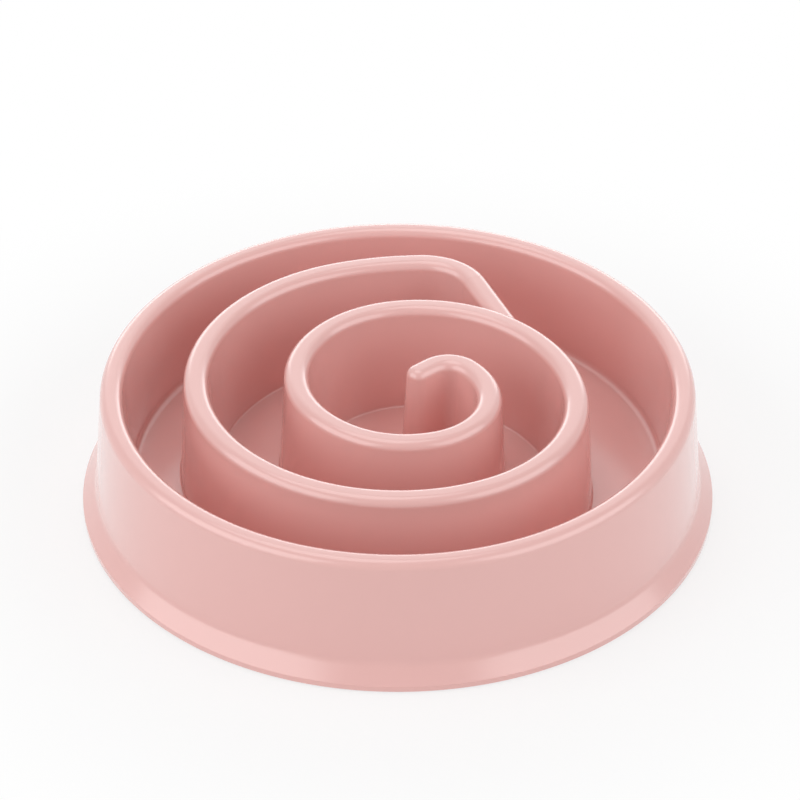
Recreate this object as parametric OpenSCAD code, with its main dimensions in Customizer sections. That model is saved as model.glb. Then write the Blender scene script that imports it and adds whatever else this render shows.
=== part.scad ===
// Slow feeder bowl: a round dish with one hollow spiral wall that rises from its floor.
// The origin is the middle of the plane that the rubber pads stand on, and Z points up.

/* [Bowl] */
// Diameter across the outside of the rim
rim_d = 212.8; // [200:0.2:240]
// Height of the rim above the table
bowl_h = 48.8; // [42:0.2:60]
// Width of the rim, from the skirt to the basin
rim_w = 7.6; // [6.8:0.2:12]
// Rounding of the rim's two edges
rim_round = 3.5; // [1:0.1:3.5]
// Thickness of the moulded walls
wall = 2.4; // [1.8:0.1:2.6]
// Slope of the outer skirt, in degrees from upright
skirt_draft = 5; // [3:0.5:8]
// Slope of the basin's wall, in degrees from upright
basin_draft = 3.5; // [2:0.5:6]
// Height of the floor above the table
floor_z = 10.3; // [9:0.1:13]
// Fillet between the floor and the basin's wall
floor_fillet = 2.5; // [1:0.1:4]

/* [Flared foot] */
// Width that the flare adds to the skirt
flare_w = 5.1; // [3:0.1:8]
// Height of the flare's slope above the lip
flare_h = 6.2; // [4:0.1:8]
// Fillet in the crease between skirt and flare
flare_fillet = 1.5; // [0.5:0.5:6]
// Height of the upright lip under the flare
lip_h = 2; // [1.4:0.1:2.6]
// Rounding of the lip's upper edge
lip_round = 0.5; // [0.2:0.1:0.8]

/* [Spiral wall] */
// Height of the spiral above the floor
rib_h = 42; // [25:0.5:46]
// Width of the spiral at its top
rib_w = 8.5; // [7:0.1:9.5]
// Slope of its two faces, in degrees from upright
rib_draft = 3.2; // [1:0.1:3.5]
// Rounding of its top edges
rib_round = 3.5; // [1:0.1:3.5]
// Drop of the straight run where it meets the inner turn
run_drop = 2; // [1:0.1:4]

/* [Rubber pads] */
// Diameter of a pad
pad_d = 12; // [9:0.2:13]
// Distance that a pad stands out under the bowl
pad_proud = 0.8; // [0.5:0.1:1.5]
// Rounding of the pad's lower edge
pad_round = 0.6; // [0.2:0.1:0.8]
// Clearance between a pad and its socket
pad_gap = 0.1; // [0.05:0.05:0.3]
// Thickness of the socket's wall
socket_wall = 1.5; // [1.2:0.1:2]

/* [Hidden] */

// Smoothness of turned faces, and steps in each rounded corner of an outline
$fn = 180;
corner_steps = 5;
// Distance that a cut runs past what it cuts
overrun = 1;
// Grid that radii and centres keep to, so that neighbouring stretches meet without a seam
grid = 0.001;
// Step by which the straight run stays inside the curved stretch that it runs into, and how far
seat_step = 0.04;
seat_l = 0.5;
// Height by which the run's underside stays clear of the curved stretches' undersides
stagger = 0.5;

bowl_colour = "#e6b9b4";
pad_colour = "#c9c4c0";

// Radii and levels that the bowl's shape follows
rim_r = rim_d/2;
basin_r = rim_r - rim_w;
lip_top_z = pad_proud + lip_h;
flare_top_z = lip_top_z + flare_h;
rib_top_z = floor_z + rib_h;
floor_under_z = floor_z - wall;
foot_r = skirt_r(flare_top_z) + flare_w;

function skirt_r(z) = rim_r + (bowl_h - z)*tan(skirt_draft);
function basin_wall_r(z) = basin_r - (bowl_h - z)*tan(basin_draft);

// Middle line of the spiral, walked from its outer end: a straight run, then tangent arcs.
// Lengths are shares of the basin's radius, and angles are in degrees.
run_start_share = [0.4245, 0.321];
run_length_share = 0.333;
run_facing = 23.5;
turn_radius_shares = [0.215, 1.08, 0.735, 0.565, 0.62, 0.525, 0.43, 0.365, 0.27, 0.095, 2];
turn_angles = [67.5, 17, 188, 67.5, 50.5, 46.5, 138.5, 51, 114.5, 85, 1.8];
last_turn = len(turn_angles) - 1;

run_start = basin_r*run_start_share;
run_l = basin_r*run_length_share;

function outward(angle) = [cos(angle), sin(angle)];
function along(angle) = [-sin(angle), cos(angle)];
function on_grid(size) = grid*round(size/grid);
function turn_r(i) = on_grid(basin_r*turn_radius_shares[i]);
function facing(i) = i == 0 ? run_facing : facing(i - 1) + turn_angles[i - 1];
function turn_start(i) = i == 0 ? run_start + run_l*along(run_facing)
    : turn_centre(i - 1) + turn_r(i - 1)*outward(facing(i));
function turn_centre(i) = turn_start(i) - turn_r(i)*outward(facing(i));

// Sockets stand under the floor, just inside the curve at the foot of the basin's wall
socket_r = pad_d/2 + pad_gap + socket_wall;
socket_ring_r = basin_wall_r(floor_z) - wall - socket_r;
socket_low_z = 2*pad_proud;
pad_angles = [225, 315, 45, 135];

// Outlines are lists of rows, each with a corner's two coordinates and its rounding
function unit(v) = v/norm(v);
function flat(row) = [row[0], row[1]];
function right_of(v) = [v[1], -v[0]];
function turns_left(a, b, c) = cross(flat(b) - flat(a), flat(c) - flat(b)) > 0;

// Arc points that round the corner at b, between its neighbours a and c
function corner(a, b, c) = let (
    back = unit(flat(a) - flat(b)),
    ahead = unit(flat(c) - flat(b)),
    half = acos(back*ahead)/2,
    middle = flat(b) + b[2]/sin(half)*unit(back + ahead),
    from = flat(b) + b[2]/tan(half)*back - middle,
    sweep = (turns_left(a, b, c) ? 1 : -1)*(180 - 2*half)
) b[2] <= 0 ? [flat(b)] : [for (k = [0:corner_steps]) let (angle = sweep*k/corner_steps)
    middle + [from[0]*cos(angle) - from[1]*sin(angle), from[0]*sin(angle) + from[1]*cos(angle)]];

// Points of an open outline, whose two end rows stay sharp
function rounded(rows) = [for (i = [0:len(rows) - 1]) each
    i == 0 || i == len(rows) - 1 ? [flat(rows[i])] : corner(rows[i - 1], rows[i], rows[i + 1])];

// The same outline moved to its right by one wall, with each rounding kept parallel
function inset(rows) = [for (i = [0:len(rows) - 1]) let (
    a = rows[max(i - 1, 0)],
    b = rows[i],
    c = rows[min(i + 1, len(rows) - 1)],
    before = i == 0 ? right_of(unit(flat(c) - flat(b))) : right_of(unit(flat(b) - flat(a))),
    after = i == len(rows) - 1 ? before : right_of(unit(flat(c) - flat(b))),
    place = flat(b) + wall*(before + after)/(1 + before*after),
    round = turns_left(a, b, c) ? b[2] + wall : max(b[2] - wall, 0)
) [place[0], place[1], round]];

function reversed(list) = [for (i = [len(list) - 1:-1:0]) list[i]];

// Face of the dish from the middle of its floor, up the basin, over the rim and down the skirt
dish_rows = [
    [0, floor_z, 0],
    [basin_wall_r(floor_z), floor_z, floor_fillet],
    [basin_r, bowl_h, rim_round],
    [rim_r, bowl_h, rim_round],
    [skirt_r(flare_top_z), flare_top_z, flare_fillet],
    [foot_r, lip_top_z, lip_round],
    [foot_r, pad_proud, 0]
];

// Half the spiral's width at height z, less the skin that a hollow leaves
function rib_half(z, skin) = rib_w/2 + (rib_top_z - z)*tan(rib_draft) - skin/cos(rib_draft);

// Right half of the section across the spiral, from its middle line down to height low_z
function half_points(low_z, skin) = let (
    top = rib_half(rib_top_z - skin, skin)
) rounded([
    [0, rib_top_z - skin, 0],
    [top, rib_top_z - skin, max(rib_round - skin, 0)],
    [rib_half(low_z, skin), low_z, 0]
]);

// Closed outline made of a right half and its mirror
function mirrored(half) = concat(half, [for (k = [len(half) - 1:-1:0]) [-half[k][0], half[k][1]]]);

// The whole section, which keeps no point on its middle line
function rib_points(low_z, skin) =
    mirrored([for (point = half_points(low_z, skin)) if (point[0] > 0) point]);

// One wall of even thickness, turned about the bowl's axis
module dish() {
    rotate_extrude() polygon(concat(rounded(dish_rows), reversed(rounded(inset(dish_rows)))));
}

// Moves its children to a point in a coarse and a fine step, which keeps every digit of its place
module place(point) {
    coarse = [on_grid(point[0]), on_grid(point[1])];
    translate(coarse) translate(point - coarse) children();
}

// Section of the run's rounded top, which spreads out below its two arcs
function cap_points(skin) = let (
    arc = [for (point = half_points(0, skin)) if (point[0] > 0 && point[1] > 0) point],
    spread = rib_half(0, 0) + overrun
) mirrored(concat(arc, [[spread, rib_top_z - max(rib_round, skin)], [spread, 0]]));

// Straight outer end: an upright wall under a top that slopes down to where it meets the inner turn
module straight_run(low_z, skin) {
    slope = atan(run_drop/run_l);
    seated = skin + seat_step;
    low = rib_half(low_z + stagger, seated);
    top = rib_half(rib_top_z - seated, seated);
    place(turn_start(0)) rotate(run_facing) intersection() {
        translate([0, seat_l, 0]) rotate([90, 0, 0]) linear_extrude(run_l + seat_l) polygon([
            [low, low_z + stagger],
            [top, rib_top_z - seated],
            [-top, rib_top_z - seated],
            [-low, low_z + stagger]
        ]);
        translate([0, 0, rib_top_z]) rotate([90 + slope, 0, 0]) translate([0, -rib_top_z, -run_l])
            linear_extrude(3*run_l) polygon(cap_points(seated));
    }
}

// One curved stretch of the spiral, about its own centre
module curved_stretch(i, low_z, skin) {
    place(turn_centre(i)) rotate_extrude(angle = turn_angles[i], start = facing(i)%360)
        translate([turn_r(i), 0]) polygon(rib_points(low_z, skin));
}

// Round nose that ends the innermost stretch, turned from half the section
module nose(low_z, skin) {
    place(turn_start(last_turn + 1)) rotate_extrude(angle = 180, start = facing(last_turn + 1)%360)
        polygon(concat(half_points(low_z, skin), [[0, low_z]]));
}

// The whole spiral, or with a skin the hollow inside it
module spiral(low_z, skin) {
    straight_run(low_z, skin);
    for (i = [0:last_turn]) curved_stretch(i, low_z, skin);
    nose(low_z, skin);
}

// Places its children at each pad, or at one
module at_pads(which = pad_angles) {
    for (angle = which) rotate(angle) translate([socket_ring_r, 0, 0]) children();
}

// Dish, spiral and pad sockets are one moulding, hollow underneath
module bowl() color(bowl_colour) difference() {
    union() {
        dish();
        spiral(floor_z - wall/2, 0);
        at_pads() translate([0, 0, socket_low_z])
            cylinder(r = socket_r, h = floor_z - wall/2 - socket_low_z);
    }
    spiral(floor_under_z - overrun, wall);
    at_pads() translate([0, 0, socket_low_z - overrun])
        cylinder(d = pad_d + 2*pad_gap, h = floor_under_z - socket_low_z + overrun);
}

// Turned rubber plug, seated against the underside of the floor
module pad(angle) color(pad_colour) at_pads([angle]) rotate_extrude() polygon(concat(
    rounded([[0, 0, 0], [pad_d/2, 0, pad_round], [pad_d/2, floor_under_z, 0]]),
    [[0, floor_under_z]]
));

bowl();
pad(pad_angles[0]);  // pad_front_left
pad(pad_angles[1]);  // pad_front_right
pad(pad_angles[2]);  // pad_back_right
pad(pad_angles[3]);  // pad_back_left
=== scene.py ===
import math

import bmesh
import bpy
from mathutils import Euler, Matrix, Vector


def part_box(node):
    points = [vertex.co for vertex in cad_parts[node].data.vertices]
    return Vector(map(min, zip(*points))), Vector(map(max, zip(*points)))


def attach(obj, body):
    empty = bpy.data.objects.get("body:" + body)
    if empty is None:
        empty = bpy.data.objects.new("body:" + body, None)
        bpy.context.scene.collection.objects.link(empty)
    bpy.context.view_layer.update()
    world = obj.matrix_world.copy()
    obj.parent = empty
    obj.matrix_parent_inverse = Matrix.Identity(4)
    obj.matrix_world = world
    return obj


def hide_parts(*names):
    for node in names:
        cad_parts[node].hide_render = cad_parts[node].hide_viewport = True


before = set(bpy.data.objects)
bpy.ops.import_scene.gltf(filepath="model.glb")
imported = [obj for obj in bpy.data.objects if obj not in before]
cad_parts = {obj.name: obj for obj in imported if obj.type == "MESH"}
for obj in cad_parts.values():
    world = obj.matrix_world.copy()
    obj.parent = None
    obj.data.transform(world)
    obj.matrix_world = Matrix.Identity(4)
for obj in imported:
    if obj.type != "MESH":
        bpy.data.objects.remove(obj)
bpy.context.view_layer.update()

MM = 0.001  # Blender works in metres; the bowl and its pads are given in millimetres

# Sizes of the bowl
RIM_R = 106.4  # outside of the rim, at its top
RIM_H = 48.8
RIM_W = 7.6
RIM_ROUND = 3.5
WALL = 2.4  # the whole moulding has one thickness
SKIRT_DRAFT = math.radians(5)
BASIN_DRAFT = math.radians(3.5)
FLOOR_Z = 10.3  # upper face of the floor
FLOOR_FILLET = 2.5
FLARE_W = 5.1
FLARE_H = 6.2
FLARE_FILLET = 5
LIP_H = 2.0  # upright edge under the flare
LIP_ROUND = 0.5
PAD_PROUD = 0.8  # how far the pads lift the lip off the table

BASIN_R = RIM_R - RIM_W
UNDER_Z = FLOOR_Z - WALL
LIP_TOP = PAD_PROUD + LIP_H
FLARE_TOP = LIP_TOP + FLARE_H

# Sizes of the spiral wall
RIB_TOP = 52.3
RIB_W = 8.5  # across its top, before the edges are rounded
RIB_DRAFT = math.radians(3.2)
RIB_ROUND = 3.5
RIB_FILLET = 0.8
RUN_DROP = 2.0  # how far the straight run's top sinks towards the inner turn
RUN_STEPS = 12

# Overlaps that keep the joined solids clear of faces that only touch
SUNK = WALL / 2  # what stands on the floor reaches this far into it
FOOT_SUNK = 0.01  # the spiral's fillet ends this far below the floor's face
LEDGE = 0.4  # flat that goes on outwards from the fillet's end, inside the floor
HIDDEN_STEP = 0.03  # the run lies this far inside the turns where they share a face
OVERCUT = 1.0  # a cut starts this far outside what it cuts

# Middle line of the spiral from its outer end: shares of the basin's radius, and degrees
RUN_START_SHARE = (0.4245, 0.321)
RUN_SHARE = 0.333
RUN_FACING = 23.5
TURN_SHARES = [0.215, 1.08, 0.735, 0.565, 0.62, 0.525, 0.43, 0.365, 0.27, 0.095, 2]
TURN_ANGLES = [67.5, 17, 188, 67.5, 50.5, 46.5, 138.5, 51, 114.5, 85, 1.8]

# Sizes of the pads and their sockets
PAD_D = 12.0
PAD_ROUND = 0.6
PAD_GAP = 0.1
SOCKET_WALL = 1.5
SOCKET_LOW = 2 * PAD_PROUD
SOCKET_ROUND = 0.3
HOLE_R = PAD_D / 2 + PAD_GAP
SOCKET_R = HOLE_R + SOCKET_WALL
PAD_ANGLES = {"pad_front_left": 225, "pad_front_right": 315, "pad_back_right": 45, "pad_back_left": 135}

# Fineness of the meshes
CORNER_STEP = 9  # degrees between the points of a rounded corner
RING_ANGLE = 3  # most degrees between two rings of the spiral
RING_GAP = 1.8  # most millimetres between two rings
TURNED_STEPS = 360
PAD_STEPS = 96
PIVOT_R = 3.0  # an outline that is turned rides on a ring of this radius
MERGE_GAP = 0.001  # points closer than this become one where a ring closes or reaches the axis
CLEAN_GAP = 0.002  # the same for the points that joining and cutting leave
SHARP = math.radians(32)

# Camera that saw the photograph, in metres and degrees: a long lens, looking down from the front
CAMERA_PLACE = (0.0, -0.9518, 0.7198)
CAMERA_DOWN = 35.54
CAMERA_YAW = 0.049
LENS = 146.3
SENSOR = 36.0
FAR_CLIP = 20.0  # how far the camera sees

# Studio, in metres and watts
FLOOR_HALF = 2.5
FADE_START = 0.12  # out from the middle of the bowl, where the floor starts to whiten
FADE_END = 0.24  # where it shows as plain white
FLOOR_WHITE = 0.72  # share of plain white in the floor under the bowl
ROOM_LIGHT = 0.28  # strength at which the white room lights the bowl
LAMP_AIM = Vector((0, 0, 0.03))
LAMPS = {  # place, width, height and power of each soft box
    "overhead": ((-0.2, 0.2, 1.4), 0.9, 0.9, 3.9),
    "left": ((-1.25, -0.65, 0.8), 1.9, 1.2, 11.8),
    "right": ((1.25, -0.6, 0.85), 1.8, 1.2, 10.5),
    "behind_high": ((0.0, 1.3, 1.0), 1.8, 1.0, 2.8),
    "behind_low": ((0.0, 1.5, 0.38), 1.8, 0.5, 4.9),
}


# Nodes and colours

def add(tree, kind, links=None, **settings):
    """Adds a node with its settings; links fills its inputs with values or with other outputs."""
    made = tree.nodes.new(kind)
    for name, value in settings.items():
        setattr(made, name, value)
    for name, value in (links or {}).items():
        if isinstance(value, bpy.types.NodeSocket):
            tree.links.new(value, made.inputs[name])
        else:
            made.inputs[name].default_value = value
    return made


def linear(code):
    """Linear colour of an sRGB hex value."""
    parts = [int(code[i:i + 2], 16) / 255 for i in (1, 3, 5)]
    return [p / 12.92 if p <= 0.04045 else ((p + 0.055) / 1.055) ** 2.4 for p in parts] + [1.0]


# Outlines: rows are (across, up, rounding)

def turned(v, angle):
    """The 2-D vector v turned by an angle in radians."""
    c, s = math.cos(angle), math.sin(angle)
    return Vector((v.x * c - v.y * s, v.x * s + v.y * c))


def rounded(rows):
    """Points of an open outline with each inner corner rounded; its two ends stay sharp."""
    points = []
    for i, (x, z, radius) in enumerate(rows):
        here = Vector((x, z))
        if radius <= 0 or i in (0, len(rows) - 1):
            points.append(here)
            continue
        back = (Vector(rows[i - 1][:2]) - here).normalized()
        ahead = (Vector(rows[i + 1][:2]) - here).normalized()
        half = back.angle(ahead) / 2
        middle = here + (back + ahead).normalized() * radius / math.sin(half)
        start = here + back * radius / math.tan(half) - middle
        sweep = math.copysign(math.pi - 2 * half, ahead.cross(back))
        steps = max(2, round(math.degrees(abs(sweep)) / CORNER_STEP))
        points += [middle + turned(start, sweep * k / steps) for k in range(steps + 1)]
    return points


def inset(rows):
    """The outline moved to its right by one wall, with each rounding kept parallel."""
    moved = []
    for i, (x, z, radius) in enumerate(rows):
        here = Vector((x, z))
        sides = [k for k in (i - 1, i) if 0 <= k < len(rows) - 1]
        steps = [Vector(rows[k + 1][:2]) - Vector(rows[k][:2]) for k in sides]
        rights = [Vector((step.y, -step.x)).normalized() for step in steps]
        before, after = rights[0], rights[-1]
        place = here + (before + after) * WALL / (1 + before.dot(after))
        grown = before.cross(after) > 0
        moved.append((place.x, place.y, radius + WALL if grown else max(radius - WALL, 0)))
    return moved


def skirt_r(z):
    """Radius of the skirt's outside at height z."""
    return RIM_R + (RIM_H - z) * math.tan(SKIRT_DRAFT)


def basin_wall_r(z):
    """Radius of the basin's wall at height z."""
    return BASIN_R - (RIM_H - z) * math.tan(BASIN_DRAFT)


def rib_half(z, skin=0.0):
    """Half the spiral's width at height z, less the skin that a hollow leaves."""
    return RIB_W / 2 + (RIB_TOP - z) * math.tan(RIB_DRAFT) - skin / math.cos(RIB_DRAFT)


def rib_rows(step=0.0):
    """Right half of the spiral's section: filleted foot, drafted face and rounded top edge."""
    foot_z = FLOOR_Z - FOOT_SUNK
    foot = rib_half(foot_z, step)
    ledge = foot + RIB_FILLET + LEDGE
    return [
        (ledge, FLOOR_Z - SUNK, 0), (ledge, foot_z, 0), (foot, foot_z, RIB_FILLET),
        (rib_half(RIB_TOP - step, step), RIB_TOP - step, RIB_ROUND),
    ]


def hollow_rows(step=0.0):
    """Right half of the hollow under the spiral, one wall inside it."""
    skin = WALL + step
    low = UNDER_Z - OVERCUT
    return [
        (rib_half(low, skin), low, 0),
        (rib_half(RIB_TOP - skin, skin), RIB_TOP - skin, max(RIB_ROUND - WALL, 0)),
    ]


def mirrored(rows):
    """Whole outline of a section: its right half and that half's mirror."""
    return rounded(rows + [(-x, z, radius) for x, z, radius in reversed(rows)])


def to_axis(rows):
    """Outline of the right half alone, closed along its middle line, for turning."""
    return rounded([(0, rows[0][1], 0)] + rows + [(0, rows[-1][1], 0)])


# Paths: rows are (x, y, drop of the top)

def outward(angle):
    """Unit vector at an angle in degrees."""
    return Vector((math.cos(math.radians(angle)), math.sin(math.radians(angle))))


def run_path():
    """The straight run, from inside the inner turn to the corner; its top drops towards the turn."""
    start = Vector(RUN_START_SHARE) * BASIN_R
    ahead = outward(RUN_FACING + 90) * RUN_SHARE * BASIN_R
    return [(*(start + ahead * k / RUN_STEPS), RUN_DROP * (1 - k / RUN_STEPS)) for k in range(RUN_STEPS + 1)]


def turns_path():
    """The tangent arcs, from the corner inwards."""
    rows = []
    facing = RUN_FACING
    place = Vector(run_path()[-1][:2])
    for share, angle in zip(TURN_SHARES, TURN_ANGLES):
        radius = BASIN_R * share
        centre = place - outward(facing) * radius
        steps = math.ceil(max(angle / RING_ANGLE, math.radians(angle) * radius / RING_GAP))
        rows += [(*(centre + outward(facing + angle * k / steps) * radius), 0) for k in range(steps)]
        facing += angle
        place = centre + outward(facing) * radius
    return rows + [(*place, 0)]


def ring_path(steps, centre, start):
    """The ring that a turned outline rides on; its first point lies at the start angle."""
    return [(*(Vector(centre) + outward(start + 360 * k / steps) * PIVOT_R), 0) for k in range(steps)]


# Making solids

def carrying_tree():
    """Node tree that carries a section along a path, and lowers its rings by the drop they hold."""
    tree = bpy.data.node_groups.new("carried section", "GeometryNodeTree")
    for name, kind in [("Path", "Geometry"), ("Section", "Object"), ("Low level", "Float"),
                       ("High level", "Float"), ("Material", "Material")]:
        tree.interface.new_socket(name, in_out="INPUT", socket_type="NodeSocket" + kind)
    tree.interface.new_socket("Solid", in_out="OUTPUT", socket_type="NodeSocketGeometry")
    given = add(tree, "NodeGroupInput").outputs
    path = add(tree, "GeometryNodeMeshToCurve", {"Mesh": given["Path"]}).outputs[0]
    path = add(tree, "GeometryNodeSetCurveNormal", {"Curve": path}, mode="Z_UP").outputs[0]
    shape = add(tree, "GeometryNodeObjectInfo", {"Object": given["Section"]}).outputs["Geometry"]
    shape = add(tree, "GeometryNodeMeshToCurve", {"Mesh": shape}).outputs[0]
    solid = add(tree, "GeometryNodeCurveToMesh",
                {"Curve": path, "Profile Curve": shape, "Fill Caps": True}).outputs[0]
    place = add(tree, "GeometryNodeInputPosition").outputs[0]
    height = add(tree, "ShaderNodeSeparateXYZ", {"Vector": place}).outputs["Z"]
    drop = add(tree, "GeometryNodeInputNamedAttribute", {"Name": "drop"}, data_type="FLOAT").outputs[0]
    lowered = add(tree, "ShaderNodeMapRange", {
        "Value": height, "From Min": given["Low level"], "From Max": given["High level"],
        "To Min": 0.0, "To Max": -1.0,
    }).outputs[0]
    lowered = add(tree, "ShaderNodeMath", {0: lowered, 1: drop}, operation="MULTIPLY").outputs[0]
    lowered = add(tree, "ShaderNodeCombineXYZ", {"Z": lowered}).outputs[0]
    solid = add(tree, "GeometryNodeSetPosition", {"Geometry": solid, "Offset": lowered}).outputs[0]
    solid = add(tree, "GeometryNodeMergeByDistance",
                {"Geometry": solid, "Distance": MERGE_GAP * MM}).outputs[0]
    solid = add(tree, "GeometryNodeRealizeInstances", {"Geometry": solid}).outputs[0]
    solid = add(tree, "GeometryNodeSetMaterial",
                {"Geometry": solid, "Material": given["Material"]}).outputs[0]
    add(tree, "NodeGroupOutput", {"Solid": solid})
    return tree


def line_object(name, points, closed):
    """Object whose mesh is one line of points, in metres."""
    mesh = bpy.data.meshes.new(name)
    last = len(points) if closed else len(points) - 1
    mesh.from_pydata(points, [(k, (k + 1) % len(points)) for k in range(last)], [])
    made = bpy.data.objects.new(name, mesh)
    bpy.context.scene.collection.objects.link(made)
    return made


def take_modifiers(piece):
    """Makes what the piece's modifiers show its plain mesh, and removes them."""
    bpy.context.view_layer.update()
    shown = piece.evaluated_get(bpy.context.evaluated_depsgraph_get())
    mesh = bpy.data.meshes.new_from_object(shown)
    piece.modifiers.clear()
    piece.data = mesh


def settle(piece):
    """Takes the piece's modifiers, drops stray edges and turns the faces outwards."""
    take_modifiers(piece)
    shape = bmesh.new()
    shape.from_mesh(piece.data)
    bmesh.ops.delete(shape, geom=[e for e in shape.edges if not e.link_faces], context="EDGES")
    bmesh.ops.recalc_face_normals(shape, faces=shape.faces)
    shape.to_mesh(piece.data)
    shape.free()


def carried(name, tree, path, outline, material, closed=False):
    """Solid made by carrying an outline of (across, up) points along a path."""
    section = line_object(name + "_section", [(x * MM, -z * MM, 0) for x, z in outline], True)
    piece = line_object(name, [(x * MM, y * MM, 0) for x, y, *_ in path], closed)
    drop = piece.data.attributes.new("drop", "FLOAT", "POINT")
    drop.data.foreach_set("value", [row[2] * MM for row in path])
    carrier = piece.modifiers.new("carried section", "NODES")
    carrier.node_group = tree
    values = {"Section": section, "Low level": FLOOR_Z * MM, "High level": RIB_TOP * MM, "Material": material}
    for item in tree.interface.items_tree:
        if item.in_out == "INPUT" and item.name in values:
            carrier[item.identifier] = values[item.name]
    settle(piece)
    bpy.data.objects.remove(section)
    return piece


def turned_solid(name, tree, outline, material, steps, centre=(0, 0), start=0.0):
    """Solid made by turning an outline of (radius, up) points about an upright axis."""
    path = ring_path(steps, centre, start)
    return carried(name, tree, path, [(x - PIVOT_R, z) for x, z in outline], material, closed=True)


def combine(piece, tool, operation):
    """Joins a tool to the piece or cuts it out, and removes the tool."""
    cut = piece.modifiers.new("combine", "BOOLEAN")
    cut.operation = operation
    cut.solver = "MANIFOLD"
    cut.object = tool
    settle(piece)
    bpy.data.objects.remove(tool)


def finish_surface(piece):
    """Smooth shading with true creases, and normals that follow the large faces."""
    shape = bmesh.new()
    shape.from_mesh(piece.data)
    bmesh.ops.remove_doubles(shape, verts=shape.verts, dist=CLEAN_GAP * MM)
    bmesh.ops.dissolve_degenerate(shape, edges=shape.edges, dist=MERGE_GAP * MM)
    shape.to_mesh(piece.data)
    shape.free()
    piece.data.shade_smooth()
    piece.data.set_sharp_from_angle(angle=SHARP)
    weighted = piece.modifiers.new("weighted normals", "WEIGHTED_NORMAL")
    weighted.keep_sharp = True
    take_modifiers(piece)


# Materials

def blank_material(name):
    """New material without nodes, and its tree."""
    material = bpy.data.materials.new(name)
    material.use_nodes = True
    material.node_tree.nodes.clear()
    return material, material.node_tree


def moulded_polypropylene():
    """Injection-moulded polypropylene: an even pale pink with a satin gloss that whitens the tops and
    far edges. The mould leaves a faint waviness and a fine grain, which soften the reflections."""
    material, tree = blank_material("moulded_polypropylene")
    place = add(tree, "ShaderNodeTexCoord").outputs["Object"]
    # Pigment drifts over about 70 mm
    cloud = add(tree, "ShaderNodeTexNoise",
                {"Vector": place, "Scale": 1 / (70 * MM), "Detail": 3.0}).outputs[0]
    colour = add(tree, "ShaderNodeMix", {0: cloud, 6: linear("#efb9b3"), 7: linear("#f2bdb8")},
                 data_type="RGBA").outputs[2]
    # Flow of the melt varies the gloss over about 9 mm
    flow = add(tree, "ShaderNodeTexNoise",
               {"Vector": place, "Scale": 1 / (9 * MM), "Detail": 4.0}).outputs[0]
    gloss = add(tree, "ShaderNodeMapRange", {"Value": flow, "To Min": 0.2, "To Max": 0.28}).outputs[0]
    # Mould grain is about 0.05 mm across, drawn at 2.5 mm so that it shows
    grain = add(tree, "ShaderNodeTexNoise",
                {"Vector": place, "Scale": 1 / (2.5 * MM), "Detail": 1.0}).outputs[0]
    # Shrinkage leaves waves about 16 mm long and a few hundredths of a millimetre high
    wave = add(tree, "ShaderNodeTexNoise",
               {"Vector": place, "Scale": 1 / (16 * MM), "Detail": 1.0}).outputs[0]
    relief = add(tree, "ShaderNodeBump",
                 {"Height": wave, "Strength": 1.0, "Distance": 0.04 * MM}).outputs[0]
    relief = add(tree, "ShaderNodeBump",
                 {"Height": grain, "Strength": 1.0, "Distance": 0.004 * MM, "Normal": relief}).outputs[0]
    surface = add(tree, "ShaderNodeBsdfPrincipled", {
        "Base Color": colour, "Roughness": gloss, "Normal": relief, "IOR": 1.49,
        "Coat Weight": 1.0, "Coat Roughness": 0.19,
    })
    add(tree, "ShaderNodeOutputMaterial", {"Surface": surface.outputs[0]})
    return material


def moulded_rubber():
    """Moulded rubber: a matt warm grey that grips, with a fine pebbled skin."""
    material, tree = blank_material("moulded_rubber")
    place = add(tree, "ShaderNodeTexCoord").outputs["Object"]
    # Dust and handling change colour and sheen over about 5 mm
    dust = add(tree, "ShaderNodeTexNoise",
               {"Vector": place, "Scale": 1 / (5 * MM), "Detail": 4.0}).outputs[0]
    colour = add(tree, "ShaderNodeMix", {0: dust, 6: linear("#bfb9b5"), 7: linear("#cbc6c2")},
                 data_type="RGBA").outputs[2]
    gloss = add(tree, "ShaderNodeMapRange", {"Value": dust, "To Min": 0.68, "To Max": 0.82}).outputs[0]
    # The skin's pebbles are about 0.1 mm across, drawn at 0.5 mm so that they show
    pebble = add(tree, "ShaderNodeTexNoise",
                 {"Vector": place, "Scale": 1 / (0.5 * MM), "Detail": 2.0}).outputs[0]
    relief = add(tree, "ShaderNodeBump",
                 {"Height": pebble, "Strength": 1.0, "Distance": 0.03 * MM}).outputs[0]
    surface = add(tree, "ShaderNodeBsdfPrincipled", {
        "Base Color": colour, "Roughness": gloss, "Normal": relief,
    })
    add(tree, "ShaderNodeOutputMaterial", {"Surface": surface.outputs[0]})
    return material


# The bowl

def dish_outline():
    """One wall of even thickness: floor, basin, rim, skirt and flared foot."""
    foot_r = skirt_r(FLARE_TOP) + FLARE_W
    rows = [
        (0, FLOOR_Z, 0),
        (basin_wall_r(FLOOR_Z), FLOOR_Z, FLOOR_FILLET),
        (BASIN_R, RIM_H, RIM_ROUND),
        (RIM_R, RIM_H, RIM_ROUND),
        (skirt_r(FLARE_TOP), FLARE_TOP, FLARE_FILLET),
        (foot_r, LIP_TOP, LIP_ROUND),
        (foot_r, PAD_PROUD, 0),
    ]
    return rounded(rows) + rounded(inset(rows))[::-1]


def socket_places():
    """Middles of the four pad sockets, which touch the basin's wall."""
    ring_r = basin_wall_r(FLOOR_Z) - WALL - SOCKET_R
    return [outward(angle) * ring_r for angle in PAD_ANGLES.values()]


def socket_outline():
    """Right half of a socket's outside, from its lower edge into the floor."""
    top = FLOOR_Z - SUNK
    return rounded([
        (0, SOCKET_LOW, 0), (SOCKET_R, SOCKET_LOW, SOCKET_ROUND), (SOCKET_R, top, 0), (0, top, 0),
    ])


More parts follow.
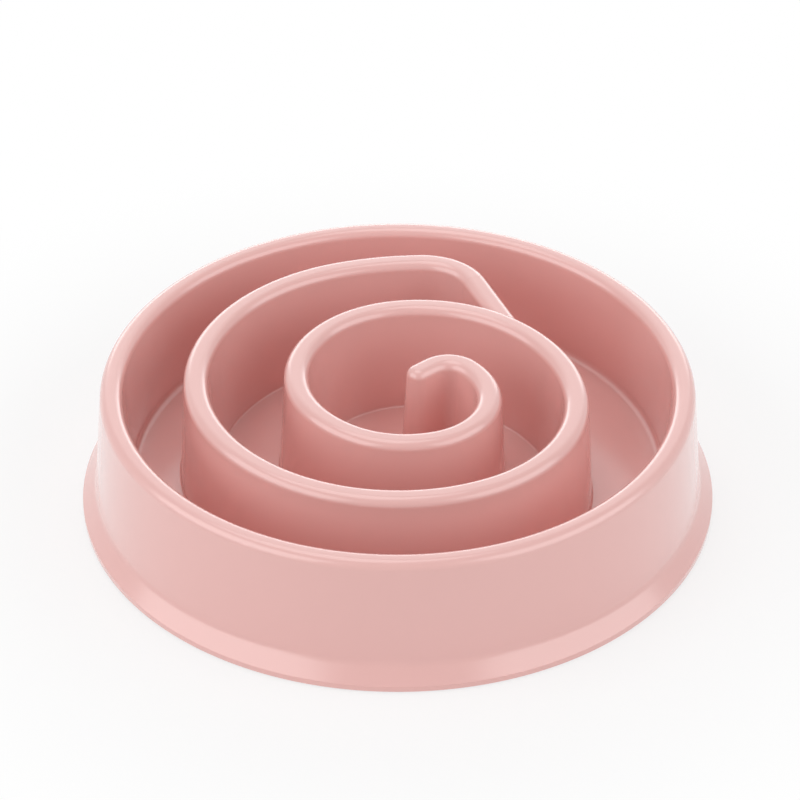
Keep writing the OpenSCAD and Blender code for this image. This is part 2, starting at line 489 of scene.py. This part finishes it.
def hole_outline():
    """Right half of the hole that a pad sits in, up to the floor's underside."""
    low = SOCKET_LOW - OVERCUT
    return rounded([(0, low, 0), (HOLE_R, low, 0), (HOLE_R, UNDER_Z, 0), (0, UNDER_Z, 0)])


def make_bowl(tree, plastic):
    """The whole moulding: dish, spiral wall and pad sockets, hollow underneath."""
    stretches = [("turns", turns_path(), 0.0), ("run", run_path(), HIDDEN_STEP)]
    nose_at = (turns_path()[-1][:2], RUN_FACING + sum(TURN_ANGLES))
    bowl = turned_solid("bowl_moulding", tree, dish_outline(), plastic, TURNED_STEPS)

    # What stands on the floor, and under it
    for name, path, step in stretches:
        combine(bowl, carried(name, tree, path, mirrored(rib_rows(step)), plastic), "UNION")
    combine(bowl, turned_solid("nose", tree, to_axis(rib_rows()), plastic, PAD_STEPS, *nose_at), "UNION")
    for place in socket_places():
        combine(bowl, turned_solid("socket", tree, socket_outline(), plastic, PAD_STEPS, place), "UNION")

    # What the mould's core leaves hollow
    for name, path, step in stretches:
        hollow = carried(name + "_hollow", tree, path, mirrored(hollow_rows(step)), plastic)
        combine(bowl, hollow, "DIFFERENCE")
    hollow = turned_solid("nose_hollow", tree, to_axis(hollow_rows()), plastic, PAD_STEPS, *nose_at)
    combine(bowl, hollow, "DIFFERENCE")
    for place in socket_places():
        combine(bowl, turned_solid("hole", tree, hole_outline(), plastic, PAD_STEPS, place), "DIFFERENCE")

    finish_surface(bowl)
    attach(bowl, "root")
    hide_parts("bowl")


# The pads

def pad_outline():
    """Right half of a pad, from the table to the floor's underside."""
    return rounded([(0, 0, 0), (PAD_D / 2, 0, PAD_ROUND), (PAD_D / 2, UNDER_Z, 0), (0, UNDER_Z, 0)])


def make_pads(tree, rubber):
    """Four turned rubber plugs, seated in their sockets."""
    for node in PAD_ANGLES:
        low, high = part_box(node)
        centre = ((low[0] + high[0]) / 2 / MM, (low[1] + high[1]) / 2 / MM)
        pad = turned_solid("rubber_" + node, tree, pad_outline(), rubber, PAD_STEPS, centre)
        finish_surface(pad)
        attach(pad, "root")
        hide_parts(node)


# Studio

def seen_directly(tree):
    """Is 1 where the camera looks, also by way of gloss or glass, and 0 where light is gathered."""
    path = add(tree, "ShaderNodeLightPath").outputs
    seen = add(tree, "ShaderNodeMath", {0: path["Is Camera Ray"], 1: path["Is Glossy Ray"]},
               operation="MAXIMUM").outputs[0]
    return add(tree, "ShaderNodeMath", {0: seen, 1: path["Is Transmission Ray"]},
               operation="MAXIMUM").outputs[0]


def make_floor():
    """Pale floor that shows as white, more so away from the bowl, and keeps the bowl's shadow."""
    material, tree = blank_material("white_paper")
    place = add(tree, "ShaderNodeTexCoord").outputs["Object"]
    away = add(tree, "ShaderNodeVectorMath", {0: place}, operation="LENGTH").outputs["Value"]
    fade = add(tree, "ShaderNodeMapRange", {
        "Value": away, "From Min": FADE_START, "From Max": FADE_END, "To Min": FLOOR_WHITE, "To Max": 1.0,
    }, interpolation_type="SMOOTHSTEP").outputs[0]
    share = add(tree, "ShaderNodeMath", {0: seen_directly(tree), 1: fade}, operation="MULTIPLY")
    paper = add(tree, "ShaderNodeBsdfDiffuse", {"Color": linear("#fcfcfc")})
    white = add(tree, "ShaderNodeEmission", {"Color": (1, 1, 1, 1), "Strength": 1.0})
    mixed = add(tree, "ShaderNodeMixShader", {0: share.outputs[0], 1: paper.outputs[0], 2: white.outputs[0]})
    add(tree, "ShaderNodeOutputMaterial", {"Surface": mixed.outputs[0]})
    mesh = bpy.data.meshes.new("floor")
    corners = [(x * FLOOR_HALF, y * FLOOR_HALF, 0) for x, y in [(-1, -1), (1, -1), (1, 1), (-1, 1)]]
    mesh.from_pydata(corners, [], [(0, 1, 2, 3)])
    mesh.materials.append(material)
    floor = bpy.data.objects.new("floor", mesh)
    bpy.context.scene.collection.objects.link(floor)


def make_world():
    """White room: it shows as white, and lights the bowl softly from all sides."""
    world = bpy.data.worlds.new("white room")
    world.use_nodes = True
    tree = world.node_tree
    tree.nodes.clear()
    level = add(tree, "ShaderNodeMapRange",
                {"Value": seen_directly(tree), "To Min": ROOM_LIGHT, "To Max": 1.0}).outputs[0]
    sky = add(tree, "ShaderNodeBackground", {"Color": (1, 1, 1, 1), "Strength": level})
    add(tree, "ShaderNodeOutputWorld", {"Surface": sky.outputs[0]})
    bpy.context.scene.world = world


def make_lamp(name, place, width, height, power):
    """Soft box at a place, turned towards the bowl."""
    lamp = bpy.data.lights.new(name, "AREA")
    lamp.shape = "RECTANGLE"
    lamp.size = width
    lamp.size_y = height
    lamp.energy = power
    made = bpy.data.objects.new(name, lamp)
    made.location = place
    made.rotation_euler = (LAMP_AIM - Vector(place)).to_track_quat("-Z", "Y").to_euler()
    bpy.context.scene.collection.objects.link(made)


def make_camera():
    """The photograph's view."""
    lens = bpy.data.cameras.new("camera")
    lens.lens = LENS
    lens.sensor_width = SENSOR
    lens.clip_end = FAR_CLIP
    camera = bpy.data.objects.new("camera", lens)
    camera.location = CAMERA_PLACE
    camera.rotation_euler = Euler((math.radians(90 - CAMERA_DOWN), 0, math.radians(-CAMERA_YAW)))
    bpy.context.scene.collection.objects.link(camera)
    bpy.context.scene.camera = camera


make_camera()
make_world()
make_floor()
for lamp, settings in LAMPS.items():
    make_lamp(lamp, *settings)
carrying = carrying_tree()
make_bowl(carrying, moulded_polypropylene())
make_pads(carrying, moulded_rubber())
bpy.context.scene.view_settings.view_transform = "Standard"
